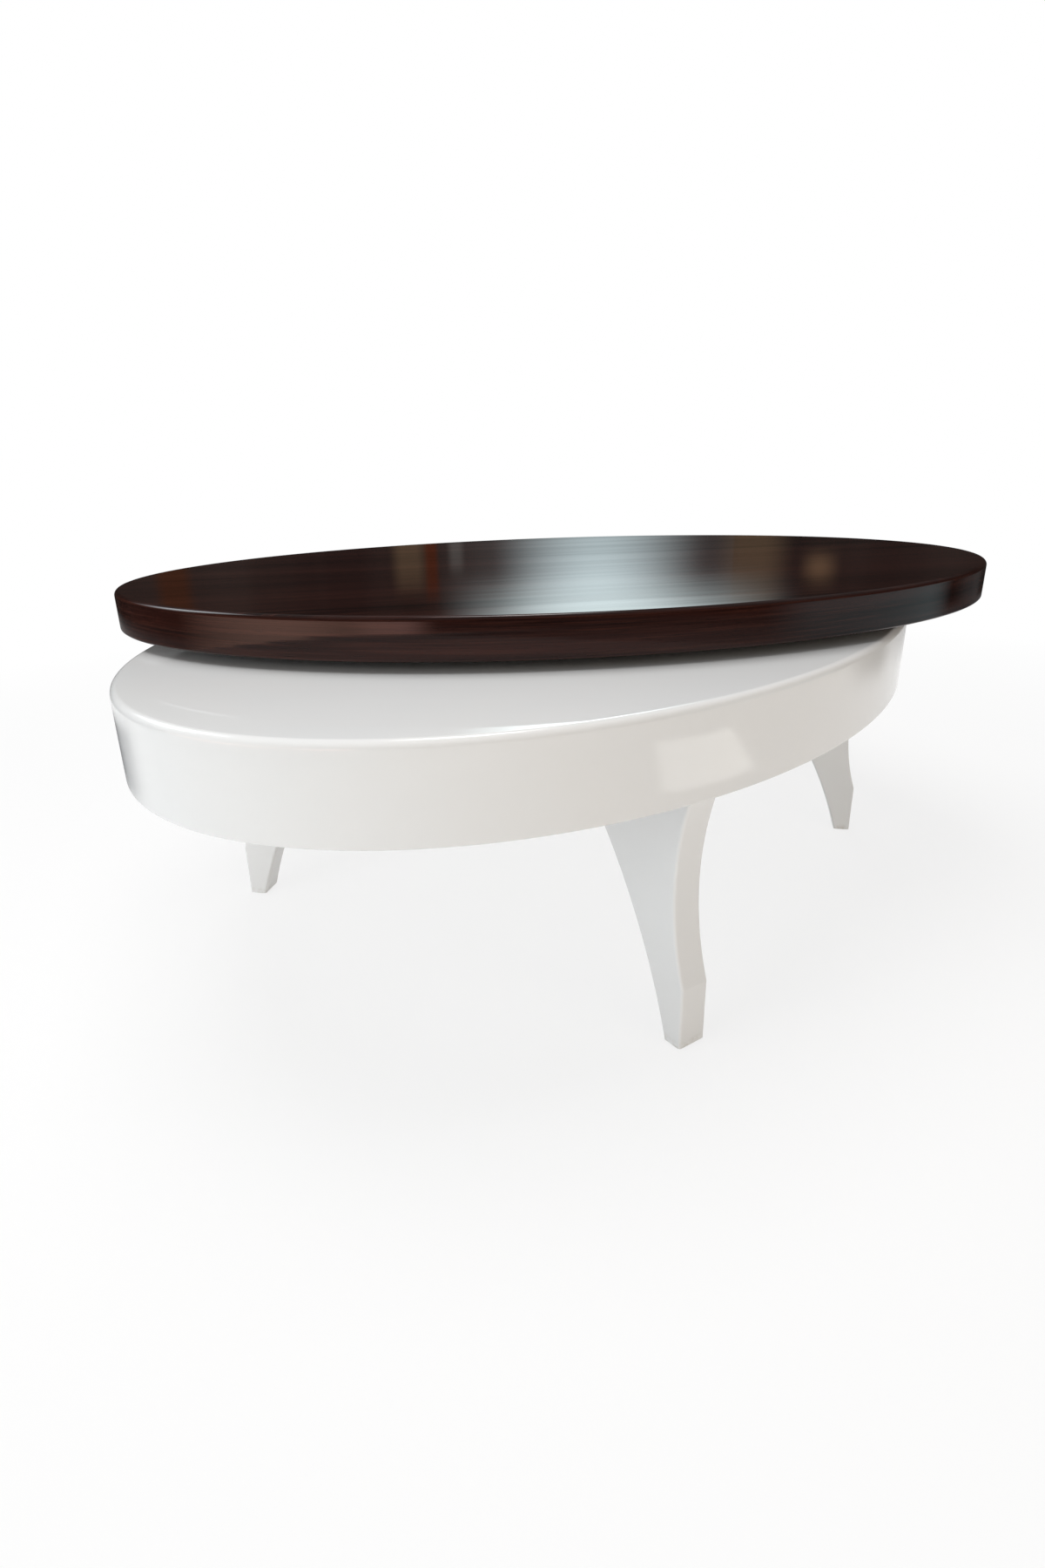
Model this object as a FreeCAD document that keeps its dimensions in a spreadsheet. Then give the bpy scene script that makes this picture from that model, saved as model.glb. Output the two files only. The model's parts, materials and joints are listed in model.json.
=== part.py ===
"""Swivel coffee table: an oval stained top that turns on a ball bearing over an oval white base.

Millimetres. The origin is on the floor under the swivel axis, +X runs along the base's long axis,
+Z is up, front is -Y and left is -X. The top is drawn turned to its rest angle.
"""
import FreeCAD, Part
import math
import os
import re

import Sketcher
from FreeCAD import Vector

SIZES = {
    # Oval base: a closed box of boards inside a curved apron
    "base_length": 1200,
    "base_width": 796,
    "base_height": 86,
    "base_panel_thickness": 18,
    "base_roundover": 7,
    "base_floor_thickness": 12,
    "base_floor_clearance": 0.5,
    "apron_thickness": 18,
    "rail_thickness": 20,
    "pad_thickness": 24,
    "splice_depth": 36,
    "splice_width": 120,
    # Sabre legs, cut from board and set square to the base's edge
    "leg_height": 275,
    "leg_thickness": 34,
    "leg_station": 58.4,
    "leg_inset": 24,
    "leg_top_width": 186,
    "leg_inner_radius": 620,
    "leg_waist_height": 170,
    "leg_waist_depth": 17,
    "leg_waist_radius": 310,
    "leg_ankle_radius": 6,
    "leg_edge_ease": 3,
    "foot_length": 22,
    # Nylon glides nailed under the feet
    "glide_thickness": 2,
    "glide_radius": 7,
    "nail_radius": 1.2,
    "nail_length": 14,
    # Steel plates that hold the legs, and the blocks above them
    "plate_length": 95,
    "plate_thickness": 4,
    "plate_setback": 12,
    "plate_side": 20,
    "plate_screw_edge": 14,
    "block_side": 9,
    # Oval top: two boards over a frame of curved edge pieces
    "top_length": 1084,
    "top_width": 696,
    "top_thickness": 42,
    "top_roundover": 5,
    "top_underside_ease": 2,
    "top_turn": -45,
    "upper_board_thickness": 12,
    "lower_board_thickness": 9,
    "edge_piece_width": 48,
    "edge_joint_offset": 260,
    "core_rail_width": 60,
    # Swivel bearing: two aluminium rings with balls in a cage between them
    "swivel_gap": 11,
    "ball_circle_radius": 140,
    "ball_radius": 2.5,
    "ball_count": 24,
    "race_clearance": 0.05,
    "ring_height": 9,
    "ring_width": 18,
    "ring_spacing": 2,
    "ring_screw_count": 8,
    "ring_screw_start": 22.5,
    "cage_thickness": 1.2,
    "cage_height": 8,
    "pocket_clearance": 0.1,
    "pad_margin": 6,
    "access_radius": 6,
    # Screws
    "screw_clearance": 0.1,
    "ring_screw_radius": 1.75,
    "ring_screw_head": 3.5,
    "ring_screw_length": 34,
    "plate_screw_radius": 2.25,
    "plate_screw_head": 4.5,
    "plate_screw_head_height": 3,
    "plate_screw_length": 40,
    "leg_screw_radius": 2.5,
    "leg_screw_head": 4.5,
    "leg_screw_length": 50,
    "floor_screw_radius": 2,
    "floor_screw_head": 4,
    "floor_screw_length": 35,
    "floor_screw_pitch": 190,
}

doc = FreeCAD.newDocument("SwivelCoffeeTable")
sheet = doc.addObject("Spreadsheet::Sheet", "Sizes")
for row, (alias, number) in enumerate(SIZES.items(), start=1):
    sheet.set(f"A{row}", alias)
    sheet.set(f"B{row}", str(number))
    sheet.setAlias(f"B{row}", alias)
doc.recompute()

WORD = re.compile(r"[a-z][a-z_]+")
NODES = []

# Heights of the main faces above the floor
BASE_UNDERSIDE = "leg_height"
BASE_FLOOR_TOP = "(leg_height + base_floor_thickness)"
PANEL_UNDERSIDE = "(leg_height + base_height - base_panel_thickness)"
BASE_UPPER_FACE = "(leg_height + base_height)"
TOP_UNDERSIDE = "(leg_height + base_height + swivel_gap)"
TOP_CORE = "(leg_height + base_height + swivel_gap + lower_board_thickness)"
UPPER_BOARD = "(leg_height + base_height + swivel_gap + top_thickness - upper_board_thickness)"
CORE_THICKNESS = "(top_thickness - upper_board_thickness - lower_board_thickness)"
BASE_HOLLOW = "(base_height - base_panel_thickness - base_floor_thickness)"

# Ovals, each a long and a short diameter
BASE_OVAL = ("base_length", "base_width")
APRON_INSIDE = ("(base_length - 2 * apron_thickness)", "(base_width - 2 * apron_thickness)")
FLOOR_OVAL = tuple(f"({axis} - 2 * base_floor_clearance)" for axis in APRON_INSIDE)
TOP_OVAL = ("top_length", "top_width")
EDGE_INSIDE = ("(top_length - 2 * edge_piece_width)", "(top_width - 2 * edge_piece_width)")

# The bearing's rings, and the square pads above and below that take their screws
OUTER_RING_BORE = "(ball_circle_radius + ring_spacing / 2)"
OUTER_SCREW_CIRCLE = "(ball_circle_radius + ring_spacing / 2 + ring_width / 2)"
INNER_RING_BORE = "(ball_circle_radius - ring_spacing / 2 - ring_width)"
INNER_SCREW_CIRCLE = "(ball_circle_radius - ring_spacing / 2 - ring_width / 2)"
PAD_HALF = "(ball_circle_radius + ring_spacing / 2 + ring_width + pad_margin)"
RAIL_OUTSIDE = f"({PAD_HALF} + rail_thickness)"

# The direction square to the base's edge at a leg, measured from +X
LEG_BEARING = "atan2(base_length * sin(leg_station); base_width * cos(leg_station))"
CORNERS = {
    "back_right": (1, 1, LEG_BEARING),
    "back_left": (-1, 1, f"(180 deg - {LEG_BEARING})"),
    "front_left": (-1, -1, f"(180 deg + {LEG_BEARING})"),
    "front_right": (1, -1, f"(-{LEG_BEARING})"),
}
PLATE_HALF_WIDTH = "(leg_thickness / 2 + plate_side)"
PLATE_SCREW_SPOTS = [
    (f"(plate_setback + {reach})", f"{sign}(leg_thickness / 2 + plate_side / 2)")
    for reach in ("plate_screw_edge", "plate_length - plate_screw_edge")
    for sign in ("-", "")
]
LEG_SCREW_REACH = tuple(f"(plate_setback + plate_length * {share} / 4)" for share in (1, 2, 3))


def formula(text):
    """Name the sheet in front of every size that the text mentions."""
    return WORD.sub(lambda word: f"Sizes.{word[0]}" if word[0] in SIZES else word[0], str(text))


def bind(thing, name, text):
    """Tie one property of a thing to a formula of sizes."""
    thing.setExpression(name, formula(text))


def place(thing, x="0", y="0", z="0", turn=None):
    """Tie a thing's place, and its turn about +Z, to formulas of sizes."""
    for axis, text in zip("xyz", (x, y, z)):
        bind(thing, f"Placement.Base.{axis}", text)
    if turn is not None:
        bind(thing, "Placement.Rotation.Angle", turn)
    return thing


def leg_point(corner, reach, side="0"):
    """Give x and y of a point in a leg's own directions.

    The reach is counted inwards from the foot's outer face and the side across the leg.
    """
    across, along, bearing = CORNERS[corner]
    run = f"(leg_inset + {reach})"
    ahead = f"cos({bearing})"
    aside = f"sin({bearing})"
    x = f"{across} * base_length / 2 * cos(leg_station) - {run} * {ahead} - ({side}) * {aside}"
    y = f"{along} * base_width / 2 * sin(leg_station) - {run} * {aside} + ({side}) * {ahead}"
    return x, y


def circle_points(radius, count, start):
    """Give x and y of points spread evenly on a circle about the swivel axis."""
    angles = [f"({start} + {360 * step / count})" for step in range(count)]
    return [(f"{radius} * cos({angle})", f"{radius} * sin({angle})") for angle in angles]


def new_body(label, z="0", turn=None, x="0", y="0"):
    """Start a piece with its own name, height and turn."""
    body = doc.addObject("PartDesign::Body", label)
    body.Label = label
    NODES.append(body)
    return place(body, x, y, z, turn)


def new_sketch(body, role="XY_Plane", lift=None):
    """Start a sketch on one of the piece's own planes, lifted along its normal if asked."""
    plane = next(item for item in body.Origin.OriginFeatures if item.Role == role)
    sketch = body.newObject("Sketcher::SketchObject", "Sketch")
    sketch.AttachmentSupport = [(plane, "")]
    sketch.MapMode = "FlatFace"
    if lift is not None:
        bind(sketch, "AttachmentOffset.Base.z", lift)
    return sketch


def dimension(sketch, text, *parts):
    """Add one dimension to a sketch, worth a formula of sizes."""
    index = sketch.addConstraint(Sketcher.Constraint(*parts))
    sketch.renameConstraint(index, f"size{index}")
    bind(sketch, f"Constraints.size{index}", text)


def pin_point(sketch, geometry, end, x, y):
    """Fix a point of a sketch by its distances from the sketch's origin."""
    point = sketch.getPoint(geometry, end)
    dimension(sketch, x, "DistanceX", -1, 1, geometry, end, point.x)
    dimension(sketch, y, "DistanceY", -1, 1, geometry, end, point.y)


def draw_oval(sketch, diameters):
    """Draw an ellipse about the sketch's origin with its long axis along x."""
    oval = sketch.addGeometry(Part.Ellipse(Vector(0, 0, 0), 2, 1))
    sketch.exposeInternalGeometry(oval)
    sketch.addConstraint(Sketcher.Constraint("Coincident", oval, 3, -1, 1))
    sketch.addConstraint(Sketcher.Constraint("Horizontal", oval + 1))
    dimension(sketch, diameters[0], "Distance", oval + 1, 4)
    dimension(sketch, diameters[1], "Distance", oval + 2, 2)


def draw_circle(sketch, radius, x="0", y="0"):
    """Draw a circle at a point of a sketch."""
    circle = sketch.addGeometry(Part.Circle(Vector(1, 1, 0), Vector(0, 0, 1), 1))
    dimension(sketch, radius, "Radius", circle, 1)
    pin_point(sketch, circle, 3, x, y)


def draw_polygon(sketch, corners):
    """Draw a closed outline of straight sides through points of a sketch."""
    turns = [2 * math.pi * step / len(corners) for step in range(len(corners))]
    start = [Vector(math.cos(turn), math.sin(turn), 0) for turn in turns]
    sides = [
        sketch.addGeometry(Part.LineSegment(start[step - 1], start[step])) for step in range(len(corners))
    ]
    for step, side in enumerate(sides):
        sketch.addConstraint(Sketcher.Constraint("Coincident", sides[step - 1], 2, side, 1))
    for side, (x, y) in zip(sides, corners):
        pin_point(sketch, side, 2, x, y)


def draw_rectangle(sketch, x_low, x_high, y_low, y_high):
    """Draw a rectangle with sides along x and y."""
    draw_polygon(sketch, [(x_low, y_low), (x_high, y_low), (x_high, y_high), (x_low, y_high)])


def pad(body, sketch, length):
    """Raise a sketch into solid board."""
    feature = body.newObject("PartDesign::Pad", "Pad")
    feature.Profile = sketch
    bind(feature, "Length", length)
    return feature


def pocket(body, sketch, depth=None, upwards=True):
    """Cut a sketch into the piece, to a depth or right through."""
    feature = body.newObject("PartDesign::Pocket", "Pocket")
    feature.Profile = sketch
    feature.Reversed = upwards
    if depth is None:
        feature.Type = "ThroughAll"
    else:
        bind(feature, "Length", depth)
    return feature


def trim_to_oval(body, diameters):
    """Cut away all of a piece that lies outside an oval."""
    sketch = new_sketch(body)
    draw_circle(sketch, diameters[0])
    draw_oval(sketch, diameters)
    pocket(body, sketch)


def drill(body, points, radius, depth=None, lift=None):
    """Drill holes up from the piece's underside, or down from a lifted face."""
    sketch = new_sketch(body, lift=lift)
    for x, y in points:
        draw_circle(sketch, radius, x, y)
    return pocket(body, sketch, depth, upwards=lift is None)


def rim_edges(feature, upper):
    """Name the level edges round a feature's upper or lower face."""
    box = feature.Shape.BoundBox
    height = box.ZMax if upper else box.ZMin
    names = []
    for index, edge in enumerate(feature.Shape.Edges, start=1):
        if edge.BoundBox.ZLength < 1e-6 and abs(edge.BoundBox.ZMin - height) < 1e-6:
            names.append(f"Edge{index}")
    return names


def fillet(body, feature, edges, radius):
    """Round the named edges of a feature."""
    rounding = body.newObject("PartDesign::Fillet", "Fillet")
    rounding.Base = (feature, edges)
    bind(rounding, "Radius", radius)
    return rounding


def countersink(body, feature, hole_radius, head_radius, upper):
    """Bevel the rims of a feature's holes so that screw heads lie flush."""
    doc.recompute()
    hole = round(sheet.get(hole_radius) + sheet.get("screw_clearance"), 6)
    rims = []
    for name in rim_edges(feature, upper):
        curve = feature.Shape.getElement(name).Curve
        if isinstance(curve, Part.Circle) and abs(curve.Radius - hole) < 1e-6:
            rims.append(name)
    bevel = body.newObject("PartDesign::Chamfer", "Chamfer")
    bevel.Base = (feature, rims)
    bind(bevel, "Size", f"{head_radius} - {hole_radius}")


def oval_board(label, diameters, thickness, z, turn=None):
    """Make a flat oval board."""
    body = new_body(label, z, turn)
    sketch = new_sketch(body)
    draw_oval(sketch, diameters)
    board = pad(body, sketch, thickness)
    doc.recompute()
    return body, board


def block(label, bounds, height, z, turn=None, oval=None):
    """Make a rectangular piece, its ends trimmed to an oval if asked."""
    body = new_body(label, z, turn)
    sketch = new_sketch(body)
    draw_rectangle(sketch, *bounds)
    pad(body, sketch, height)
    if oval:
        trim_to_oval(body, oval)
    return body


def edge_segments(name, outside, inside, joint, height, z, turn=None):
    """Make the curved pieces that run round an oval and meet at square joints."""
    half_length = f"({outside[0]} / 2)"
    half_width = f"({outside[1]} / 2)"
    bounds = {
        "front": (f"-{joint}", joint, f"-{half_width}", "0"),
        "back": (f"-{joint}", joint, "0", half_width),
        "front_left": (f"-{half_length}", f"-{joint}", f"-{half_width}", "0"),
        "back_left": (f"-{half_length}", f"-{joint}", "0", half_width),
        "front_right": (joint, half_length, f"-{half_width}", "0"),
        "back_right": (joint, half_length, "0", half_width),
    }
    for side, limits in bounds.items():
        body = block(f"{name}_{side}", limits, height, z, turn, outside)
        hollow = new_sketch(body)
        draw_oval(hollow, inside)
        pocket(body, hollow)


def make_screw(name, head, radius, length, head_height=None):
    """Make one screw, head down and point up, countersunk unless its head stands proud."""
    shank = doc.addObject("Part::Cylinder", f"{name}_shank")
    bind(shank, "Radius", radius)
    bind(shank, "Height", length)
    if head_height is None:
        cap = doc.addObject("Part::Cone", f"{name}_head")
        bind(cap, "Radius1", head)
        bind(cap, "Radius2", radius)
        bind(cap, "Height", f"{head} - {radius}")
    else:
        cap = doc.addObject("Part::Cylinder", f"{name}_head")
        bind(cap, "Radius", head)
        bind(cap, "Height", head_height)
        place(cap, z=f"-{head_height}")
    screw = doc.addObject("Part::Fuse", name)
    screw.Base = shank
    screw.Tool = cap
    return screw


def scatter(label, source, points, z, upside_down=False):
    """Gather copies of one small piece, set at points, under one name."""
    copies = []
    for x, y in points:
        copy = doc.addObject("App::Link", f"{label}_copy")
        copy.LinkedObject = source
        if upside_down:
            copy.Placement = FreeCAD.Placement(Vector(), FreeCAD.Rotation(Vector(1, 0, 0), 180))
        copies.append(place(copy, x, y, z))
    group = doc.addObject("Part::Compound", label)
    group.Label = label
    group.Links = copies
    NODES.append(group)


# Base: upper panel, apron, and the frame inside
ring_screw_hole = "ring_screw_radius + screw_clearance"
ring_screw_count = SIZES["ring_screw_count"]
outer_screws = circle_points(OUTER_SCREW_CIRCLE, ring_screw_count, "ring_screw_start")
inner_screws = circle_points(INNER_SCREW_CIRCLE, ring_screw_count, "ring_screw_start")
access_point = (INNER_SCREW_CIRCLE, "0")

base_panel, panel_board = oval_board(
    "base_top_panel", BASE_OVAL, "base_panel_thickness", PANEL_UNDERSIDE
)
fillet(base_panel, panel_board, rim_edges(panel_board, upper=True), "base_roundover")
drill(base_panel, outer_screws, ring_screw_hole)
drill(base_panel, [access_point], "access_radius")

apron_joint = "(base_length / 2 * cos(leg_station))"
apron_height = "(base_height - base_panel_thickness)"
edge_segments("apron", BASE_OVAL, APRON_INSIDE, apron_joint, apron_height, BASE_UNDERSIDE)

floor_screw_hole = "floor_screw_radius + screw_clearance"
floor_screw_columns = [f"{step} * floor_screw_pitch" for step in (-2, -1, 0, 1, 2)]
floor_screws = []
for name, side in (("front", "-"), ("back", "")):
    near, far = f"{side}{PAD_HALF}", f"{side}{RAIL_OUTSIDE}"
    ends = ("-base_length / 2", "base_length / 2", near, far)
    rail = block(f"long_rail_{name}", ends, BASE_HOLLOW, BASE_FLOOR_TOP, oval=APRON_INSIDE)
    screw_row = [(column, f"{side}({PAD_HALF} + rail_thickness / 2)") for column in floor_screw_columns]
    screw_bite = "floor_screw_length - base_floor_thickness + screw_clearance"
    drill(rail, screw_row, floor_screw_hole, screw_bite)
    floor_screws += screw_row

for name, side in (("left", "-"), ("right", "")):
    cross_ends = (f"{side}{PAD_HALF}", f"{side}{RAIL_OUTSIDE}", f"-{PAD_HALF}", PAD_HALF)
    block(f"cross_rail_{name}", cross_ends, BASE_HOLLOW, BASE_FLOOR_TOP)
    splice_reach = f"{side}(base_length / 2 - apron_thickness - splice_depth)"
    splice_ends = (splice_reach, f"{side}base_length / 2", "-splice_width / 2", "splice_width / 2")
    block(f"splice_block_{name}", splice_ends, BASE_HOLLOW, BASE_FLOOR_TOP, oval=APRON_INSIDE)

pad_bounds = (f"-{PAD_HALF}", PAD_HALF, f"-{PAD_HALF}", PAD_HALF)
swivel_pad = block("swivel_pad", pad_bounds, "pad_thickness", f"{PANEL_UNDERSIDE} - pad_thickness")
drill(swivel_pad, outer_screws, ring_screw_hole)
drill(swivel_pad, [access_point], "access_radius")

# Base floor, let in for the leg plates
plate_screw_hole = "plate_screw_radius + screw_clearance"
leg_screw_hole = "leg_screw_radius + screw_clearance"
plate_screws = []
leg_screws = []
for corner in CORNERS:
    plate_screws += [leg_point(corner, reach, side) for reach, side in PLATE_SCREW_SPOTS]
    leg_screws += [leg_point(corner, reach) for reach in LEG_SCREW_REACH]

base_floor = oval_board("base_bottom_panel", FLOOR_OVAL, "base_floor_thickness", BASE_UNDERSIDE)[0]
floor_holes = drill(base_floor, floor_screws, floor_screw_hole)
countersink(base_floor, floor_holes, "floor_screw_radius", "floor_screw_head", upper=False)
recesses = new_sketch(base_floor)
for corner in CORNERS:
    near, far = "plate_setback", "(plate_setback + plate_length)"
    left, right = f"-{PLATE_HALF_WIDTH}", PLATE_HALF_WIDTH
    outline = [(near, left), (far, left), (far, right), (near, right)]
    draw_polygon(recesses, [leg_point(corner, reach, side) for reach, side in outline])
pocket(base_floor, recesses, "plate_thickness")
drill(base_floor, plate_screws, plate_screw_hole)


def make_leg_block(corner):
    """Make the block between apron and long rail that takes a leg plate's screws."""
    body = new_body(f"leg_block_{corner}", BASE_FLOOR_TOP)
    half = f"({PLATE_HALF_WIDTH} + block_side)"
    near, far = "-leg_inset", "leg_top_width"
    outline = [(near, f"-{half}"), (far, f"-{half}"), (far, half), (near, half)]
    sketch = new_sketch(body)
    draw_polygon(sketch, [leg_point(corner, reach, side) for reach, side in outline])
    pad(body, sketch, BASE_HOLLOW)
    trim_to_oval(body, APRON_INSIDE)
    rail_room = new_sketch(body)
    draw_rectangle(rail_room, "-base_length", "base_length", f"-{RAIL_OUTSIDE}", RAIL_OUTSIDE)
    pocket(body, rail_room)
    holes = [leg_point(corner, reach, side) for reach, side in PLATE_SCREW_SPOTS]
    drill(body, holes, plate_screw_hole, "plate_screw_length - base_floor_thickness + screw_clearance")


def draw_leg_profile(sketch):
    """Draw a leg's side view: x outwards from the foot's outer face, y up from the floor."""
    waist, ankle = SIZES["leg_waist_radius"], SIZES["leg_ankle_radius"]
    depth, waist_height = SIZES["leg_waist_depth"], SIZES["leg_waist_height"]
    height, foot = SIZES["leg_height"], SIZES["glide_thickness"]
    drop = math.sqrt(depth * (2 * (waist + ankle) - depth))
    lean = math.asin(drop / (waist + ankle))
    rise = math.asin((height - waist_height) / waist)
    ankle_centre = Vector(-ankle, waist_height - drop, 0)
    waist_centre = Vector(waist - depth, waist_height, 0)
    up = Vector(0, 0, 1)
    outer_top = waist_centre + Vector(-waist * math.cos(rise), waist * math.sin(rise), 0)
    inner_top = Vector(-SIZES["leg_top_width"], height, 0)
    inner_foot = Vector(-SIZES["foot_length"], foot, 0)
    chord = inner_top - inner_foot
    bow = SIZES["leg_inner_radius"]
    sag = bow - math.sqrt(bow**2 - chord.Length**2 / 4)
    inner_middle = (inner_top + inner_foot) / 2 + Vector(chord.y, -chord.x, 0).normalize() * sag

    foot_line = sketch.addGeometry(Part.LineSegment(Vector(0, foot, 0), Vector(0, ankle_centre.y, 0)))
    ankle_arc = sketch.addGeometry(Part.ArcOfCircle(Part.Circle(ankle_centre, up, ankle), 0, lean))
    waist_circle = Part.Circle(waist_centre, up, waist)
    waist_arc = sketch.addGeometry(Part.ArcOfCircle(waist_circle, math.pi - rise, math.pi + lean))
    top_line = sketch.addGeometry(Part.LineSegment(outer_top, inner_top))
    inner_arc = sketch.addGeometry(Part.Arc(inner_top, inner_middle, inner_foot))
    sole_line = sketch.addGeometry(Part.LineSegment(inner_foot, Vector(0, foot, 0)))
    inner_start = 1 if sketch.getPoint(inner_arc, 1).y > waist_height else 2

    joins = [
        ("Tangent", foot_line, 2, ankle_arc, 1),
        ("Tangent", ankle_arc, 2, waist_arc, 2),
        ("Coincident", waist_arc, 1, top_line, 1),
        ("Coincident", top_line, 2, inner_arc, inner_start),
        ("Coincident", inner_arc, 3 - inner_start, sole_line, 1),
        ("Coincident", sole_line, 2, foot_line, 1),
        ("Horizontal", top_line),
        ("Horizontal", sole_line),
    ]
    for join in joins:
        sketch.addConstraint(Sketcher.Constraint(*join))
    pin_point(sketch, foot_line, 1, "0", "glide_thickness")
    dimension(sketch, "0", "DistanceX", -1, 1, foot_line, 2, 0)
    dimension(sketch, "leg_ankle_radius", "Radius", ankle_arc, ankle)
    pin_point(sketch, waist_arc, 3, "leg_waist_radius - leg_waist_depth", "leg_waist_height")
    pin_point(sketch, top_line, 2, "-leg_top_width", "leg_height")
    dimension(sketch, "foot_length", "Distance", sole_line, SIZES["foot_length"])
    dimension(sketch, "leg_inner_radius", "Radius", inner_arc, bow)


def long_edges(feature):
    """Name the edges down a leg's two broad faces, without those of its top and sole."""
    half = feature.Shape.BoundBox.YMax
    names = []
    for index, edge in enumerate(feature.Shape.Edges, start=1):
        box = edge.BoundBox
        if box.YLength < 1e-6 and box.ZLength > 1 and abs(abs(box.YMin) - half) < 1e-6:
            names.append(f"Edge{index}")
    return names


def make_leg(corner):
    """Make one sabre leg with its long edges eased, and its screw and nail holes."""
    x, y = leg_point(corner, "0")
    body = new_body(f"leg_{corner}", "0", CORNERS[corner][2], x, y)
    profile = new_sketch(body, "XZ_Plane")
    draw_leg_profile(profile)
    board = pad(body, profile, "leg_thickness")
    board.Midplane = True
    doc.recompute()
    fillet(body, board, long_edges(board), "leg_edge_ease")
    holes = [(f"-{reach}", "0") for reach in LEG_SCREW_REACH]
    screw_depth = "leg_screw_length - plate_thickness + screw_clearance"
    drill(body, holes, leg_screw_hole, screw_depth, lift="leg_height")
    nail_hole = [("-foot_length / 2", "0")]
    nail_depth = "glide_thickness + nail_length + screw_clearance"
    drill(body, nail_hole, "nail_radius + screw_clearance", nail_depth)


def make_plate(corner):
    """Make the steel plate that is screwed to a leg's top and up into its block."""
    x, y = leg_point(corner, "0")
    body = new_body(f"leg_plate_{corner}", BASE_UNDERSIDE, CORNERS[corner][2], x, y)
    sketch = new_sketch(body)
    far = "-(plate_setback + plate_length)"
    draw_rectangle(sketch, far, "-plate_setback", f"-{PLATE_HALF_WIDTH}", PLATE_HALF_WIDTH)
    pad(body, sketch, "plate_thickness")
    drill(body, [(f"-{reach}", side) for reach, side in PLATE_SCREW_SPOTS], plate_screw_hole)
    leg_holes = drill(body, [(f"-{reach}", "0") for reach in LEG_SCREW_REACH], leg_screw_hole)
    countersink(body, leg_holes, "leg_screw_radius", "leg_screw_head", upper=True)


def make_glide(corner):
    """Make a nylon glide with its nail, centred under a foot."""
    x, y = leg_point(corner, "foot_length / 2")
    body = new_body(f"foot_glide_{corner}", "0", CORNERS[corner][2], x, y)
    discs = {"glide_radius": "glide_thickness", "nail_radius": "glide_thickness + nail_length"}
    for radius, length in discs.items():
        sketch = new_sketch(body)
        draw_circle(sketch, radius)
        pad(body, sketch, length)


for corner in CORNERS:
    make_leg_block(corner)
    make_leg(corner)
    make_plate(corner)
    make_glide(corner)

floor_screw = make_screw("floor_screw", "floor_screw_head", "floor_screw_radius", "floor_screw_length")
scatter("bottom_panel_screws", floor_screw, floor_screws, BASE_UNDERSIDE)
plate_screw = make_screw(
    "plate_screw", "plate_screw_head", "plate_screw_radius", "plate_screw_length", "plate_screw_head_height"
)
scatter("leg_plate_screws", plate_screw, plate_screws, BASE_UNDERSIDE)
leg_screw = make_screw("leg_screw", "leg_screw_head", "leg_screw_radius", "leg_screw_length")
scatter("leg_top_screws", leg_screw, leg_screws, f"{BASE_UNDERSIDE} + plate_thickness", upside_down=True)


# Swivel bearing between base and top
def bearing_ring(label, bore, z, race_height, screws, upper, turn=None):
    """Make a flat ring with a ball race in one wall and countersunk screw holes."""
    body = new_body(label, z, turn)
    axis = next(item for item in body.Origin.OriginFeatures if item.Role == "Z_Axis")
    section = new_sketch(body, "XZ_Plane")
    draw_rectangle(section, bore, f"({bore} + ring_width)", "0", "ring_height")
    ring = body.newObject("PartDesign::Revolution", "Revolution")
    ring.Profile = section
    ring.ReferenceAxis = (axis, [""])
    race = new_sketch(body, "XZ_Plane")
    draw_circle(race, "ball_radius + race_clearance", "ball_circle_radius", race_height)
    groove = body.newObject("PartDesign::Groove", "Groove")
    groove.Profile = race
    groove.ReferenceAxis = (axis, [""])
    holes = drill(body, screws, ring_screw_hole)
    countersink(body, holes, "ring_screw_radius", "ring_screw_head", upper)


BALL_HEIGHT = f"({BASE_UPPER_FACE} + swivel_gap / 2)"
INNER_RING_UNDERSIDE = f"({TOP_UNDERSIDE} - ring_height)"
outer_race = "swivel_gap / 2"
inner_race = "ring_height - swivel_gap / 2"
bearing_ring("bearing_outer_ring", OUTER_RING_BORE, BASE_UPPER_FACE, outer_race, outer_screws, True)
bearing_ring(
    "bearing_inner_ring", INNER_RING_BORE, INNER_RING_UNDERSIDE, inner_race, inner_screws, False, "top_turn"
)

cage = new_body("bearing_cage", BALL_HEIGHT)
cage_axis = next(item for item in cage.Origin.OriginFeatures if item.Role == "Z_Axis")
cage_section = new_sketch(cage, "XZ_Plane")
cage_wall = ("ball_circle_radius - cage_thickness / 2", "ball_circle_radius + cage_thickness / 2")
draw_rectangle(cage_section, *cage_wall, "-cage_height / 2", "cage_height / 2")
cage_ring = cage.newObject("PartDesign::Revolution", "Revolution")
cage_ring.Profile = cage_section
cage_ring.ReferenceAxis = (cage_axis, [""])
ball_pocket = new_sketch(cage, "YZ_Plane")
draw_circle(ball_pocket, "ball_radius + pocket_clearance")
first_pocket = pocket(cage, ball_pocket, "ball_circle_radius + cage_thickness")
pocket_ring = cage.newObject("PartDesign::PolarPattern", "PolarPattern")
pocket_ring.Originals = [first_pocket]
pocket_ring.Axis = (cage_axis, [""])
pocket_ring.Angle = 360
bind(pocket_ring, "Occurrences", "ball_count")
cage.Tip = pocket_ring

ball = doc.addObject("Part::Sphere", "ball")
bind(ball, "Radius", "ball_radius")
ball_spots = circle_points("ball_circle_radius", SIZES["ball_count"], "0")
scatter("bearing_balls", ball, ball_spots, BALL_HEIGHT)

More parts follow.
